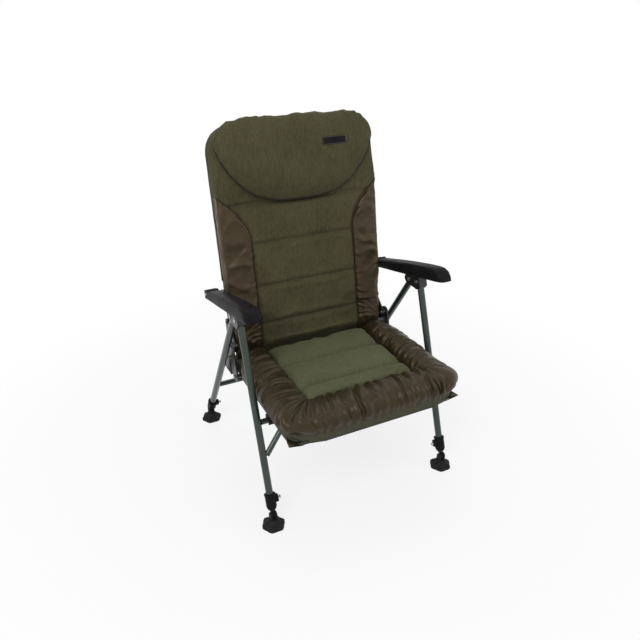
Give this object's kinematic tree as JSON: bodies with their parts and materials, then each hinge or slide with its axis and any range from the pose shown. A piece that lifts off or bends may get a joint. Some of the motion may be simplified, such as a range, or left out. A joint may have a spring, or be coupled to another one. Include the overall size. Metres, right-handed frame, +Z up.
{
  "type": "reclining fishing chair",
  "caption": "Padded low recliner chair on a folding tubular frame, with toothed armrests, a head pillow and telescopic legs on swivelling mud feet.",
  "frame": {"origin": "under the middle of the chair, on the ground", "axes": "+X to the sitter's left as seen from the front right of the picture, -Y is where the sitter faces, +Z up"},
  "size_m": [0.626, 0.6772, 1.0109],
  "materials": {
    "tube_paint": "satin dark green paint on steel tube",
    "black_steel": "satin black powder coat on pressed steel",
    "bright_steel": "plated pins and rivets",
    "black_plastic": "fine matt moulded plastic",
    "rubber": "hard matt moulded foot",
    "fleece": "short-pile green fleece, quilted",
    "seat_cloth": "brown nylon border round a fleece panel",
    "canvas": "olive coated polyester sling"
  },
  "bodies": {
    "front_legs": {"front_leg_left": "tube_paint", "front_leg_right": "tube_paint", "front_collar_left": "black_plastic", "front_collar_right": "black_plastic", "front_crossbar": "tube_paint", "front_bow": "tube_paint", "arm_bracket_left": "black_steel", "arm_bracket_right": "black_steel", "front_leg_rivet_left": "bright_steel", "front_leg_rivet_right": "bright_steel", "rear_leg_rivet_left": "bright_steel", "rear_leg_rivet_right": "bright_steel", "rack_pin_left": "bright_steel", "rack_pin_right": "bright_steel"},
    "front_extension_left": {"front_inner_leg_left": "tube_paint"},
    "front_extension_right": {"front_inner_leg_right": "tube_paint"},
    "front_lock_left": {"front_lock_pin_left": "bright_steel"},
    "front_lock_right": {"front_lock_pin_right": "bright_steel"},
    "front_swivel_left": {"front_foot_knuckle_left": "black_plastic"},
    "front_swivel_right": {"front_foot_knuckle_right": "black_plastic"},
    "rear_legs": {"rear_leg_left": "tube_paint", "rear_leg_right": "tube_paint", "rear_collar_left": "black_plastic", "rear_collar_right": "black_plastic", "rear_crossbar": "tube_paint", "rear_axle_left": "bright_steel", "rear_axle_right": "bright_steel"},
    "rear_extension_left": {"rear_inner_leg_left": "tube_paint"},
    "rear_extension_right": {"rear_inner_leg_right": "tube_paint"},
    "rear_lock_left": {"rear_lock_pin_left": "bright_steel"},
    "rear_lock_right": {"rear_lock_pin_right": "bright_steel"},
    "rear_swivel_left": {"rear_foot_knuckle_left": "black_plastic"},
    "rear_swivel_right": {"rear_foot_knuckle_right": "black_plastic"},
    "front_pad_left": {"front_foot_left": "rubber"},
    "front_pad_right": {"front_foot_right": "rubber"},
    "rear_pad_left": {"rear_foot_left": "rubber"},
    "rear_pad_right": {"rear_foot_right": "rubber"},
    "seat": {"seat_frame": "tube_paint", "seat_deck": "canvas", "crossbar_clip_left": "black_plastic", "crossbar_clip_right": "black_plastic", "hinge_plate_left": "black_steel", "hinge_plate_right": "black_steel", "seat_pad": "seat_cloth"},
    "hinge_pins": {"hinge_pin_left": "bright_steel", "hinge_pin_right": "bright_steel"},
    "back": {"back_frame": "tube_paint", "back_knuckle_left": "black_steel", "back_knuckle_right": "black_steel", "back_deck": "canvas", "back_pad": "fleece", "head_pillow": "fleece", "arm_pivot_pin_left": "bright_steel", "arm_pivot_pin_right": "bright_steel"},
    "arm_left": {"armrest_left": "black_plastic", "arm_rack_left": "black_steel"},
    "arm_right": {"armrest_right": "black_plastic", "arm_rack_right": "black_steel"},
    "arm_pivot_left": {"arm_block_left": "black_plastic"},
    "arm_pivot_right": {"arm_block_right": "black_plastic"}
  },
  "joints": [
    {"name": "leg_fold", "type": "hinge", "parent": "seat", "child": "front_legs", "pos_m": [0, -0.16015, 0.28663], "axis": [-1, 0, 0], "range_deg": [0, 68]},
    {"name": "rear_leg_fold", "type": "hinge", "parent": "front_legs", "child": "rear_legs", "pos_m": [0, -0.02857, 0.548], "axis": [-1, 0, 0], "range_deg": [0, 47.7]},
    {"name": "seat_fold", "type": "hinge", "parent": "hinge_pins", "child": "seat", "pos_m": [0, 0.08343, 0.392], "axis": [-1, 0, 0], "range_deg": [0, 92]},
    {"name": "recline", "type": "hinge", "parent": "hinge_pins", "child": "back", "pos_m": [0, 0.08343, 0.392], "axis": [-1, 0, 0], "range_deg": [0, 30]},
    {"name": "arm_tilt_left", "type": "hinge", "parent": "back", "child": "arm_pivot_left", "pos_m": [-0.282, 0.15687, 0.53582], "axis": [1, 0, 0], "range_deg": [0, 21.51]},
    {"name": "arm_lift_left", "type": "hinge", "parent": "arm_pivot_left", "child": "arm_left", "pos_m": [-0.282, 0.15687, 0.53582], "axis": [-1, 0, 0], "range_deg": [0, 88.1]},
    {"name": "front_leg_height_left", "type": "slide", "parent": "front_legs", "child": "front_extension_left", "axis": [0, -0.3283, -0.9446], "range_m": [0, 0.12]},
    {"name": "front_lock_left", "type": "slide", "parent": "front_legs", "child": "front_lock_left", "axis": [1, 0, 0], "range_m": [0, 0.006], "stiffness_N_per_m": 600, "springref_m": -0.002},
    {"name": "front_foot_swivel_left", "type": "hinge", "parent": "front_extension_left", "child": "front_swivel_left", "pos_m": [-0.28, -0.24657, 0.038], "axis": [0, 0.3283, 0.9446], "range_deg": [-90, 90]},
    {"name": "front_foot_tilt_left", "type": "hinge", "parent": "front_swivel_left", "child": "front_pad_left", "pos_m": [-0.28, -0.24657, 0.038], "axis": [1, 0, 0], "range_deg": [-25, 25]},
    {"name": "rear_leg_height_left", "type": "slide", "parent": "rear_legs", "child": "rear_extension_left", "axis": [0, 0.5513, -0.8343], "range_m": [0, 0.12]},
    {"name": "rear_lock_left", "type": "slide", "parent": "rear_legs", "child": "rear_lock_left", "axis": [1, 0, 0], "range_m": [0, 0.006], "stiffness_N_per_m": 600, "springref_m": -0.002},
    {"name": "rear_foot_swivel_left", "type": "hinge", "parent": "rear_extension_left", "child": "rear_swivel_left", "pos_m": [-0.28, 0.30843, 0.038], "axis": [0, -0.5513, 0.8343], "range_deg": [-90, 90]},
    {"name": "rear_foot_tilt_left", "type": "hinge", "parent": "rear_swivel_left", "child": "rear_pad_left", "pos_m": [-0.28, 0.30843, 0.038], "axis": [1, 0, 0], "range_deg": [-25, 25]},
    {"name": "arm_tilt_right", "type": "hinge", "parent": "back", "child": "arm_pivot_right", "pos_m": [0.282, 0.15687, 0.53582], "axis": [1, 0, 0], "range_deg": [0, 21.51]},
    {"name": "arm_lift_right", "type": "hinge", "parent": "arm_pivot_right", "child": "arm_right", "pos_m": [0.282, 0.15687, 0.53582], "axis": [-1, 0, 0], "range_deg": [0, 88.1]},
    {"name": "front_leg_height_right", "type": "slide", "parent": "front_legs", "child": "front_extension_right", "axis": [0, -0.3283, -0.9446], "range_m": [0, 0.12]},
    {"name": "front_lock_right", "type": "slide", "parent": "front_legs", "child": "front_lock_right", "axis": [-1, 0, 0], "range_m": [0, 0.006], "stiffness_N_per_m": 600, "springref_m": -0.002},
    {"name": "front_foot_swivel_right", "type": "hinge", "parent": "front_extension_right", "child": "front_swivel_right", "pos_m": [0.28, -0.24657, 0.038], "axis": [0, 0.3283, 0.9446], "range_deg": [-90, 90]},
    {"name": "front_foot_tilt_right", "type": "hinge", "parent": "front_swivel_right", "child": "front_pad_right", "pos_m": [0.28, -0.24657, 0.038], "axis": [1, 0, 0], "range_deg": [-25, 25]},
    {"name": "rear_leg_height_right", "type": "slide", "parent": "rear_legs", "child": "rear_extension_right", "axis": [0, 0.5513, -0.8343], "range_m": [0, 0.12]},
    {"name": "rear_lock_right", "type": "slide", "parent": "rear_legs", "child": "rear_lock_right", "axis": [-1, 0, 0], "range_m": [0, 0.006], "stiffness_N_per_m": 600, "springref_m": -0.002},
    {"name": "rear_foot_swivel_right", "type": "hinge", "parent": "rear_extension_right", "child": "rear_swivel_right", "pos_m": [0.28, 0.30843, 0.038], "axis": [0, -0.5513, 0.8343], "range_deg": [-90, 90]},
    {"name": "rear_foot_tilt_right", "type": "hinge", "parent": "rear_swivel_right", "child": "rear_pad_right", "pos_m": [0.28, 0.30843, 0.038], "axis": [1, 0, 0], "range_deg": [-25, 25]}
  ],
  "couplings": [
    {"joint": "leg_fold", "follows": "seat_fold", "ratio": 0.73913},
    {"joint": "rear_leg_fold", "follows": "seat_fold", "ratio": 0.51848},
    {"joint": "arm_tilt_left", "follows": "recline", "ratio": 0.717},
    {"joint": "arm_lift_left", "follows": "seat_fold", "ratio": 0.95761},
    {"joint": "arm_tilt_right", "follows": "recline", "ratio": 0.717},
    {"joint": "arm_lift_right", "follows": "seat_fold", "ratio": 0.95761}
  ]
}
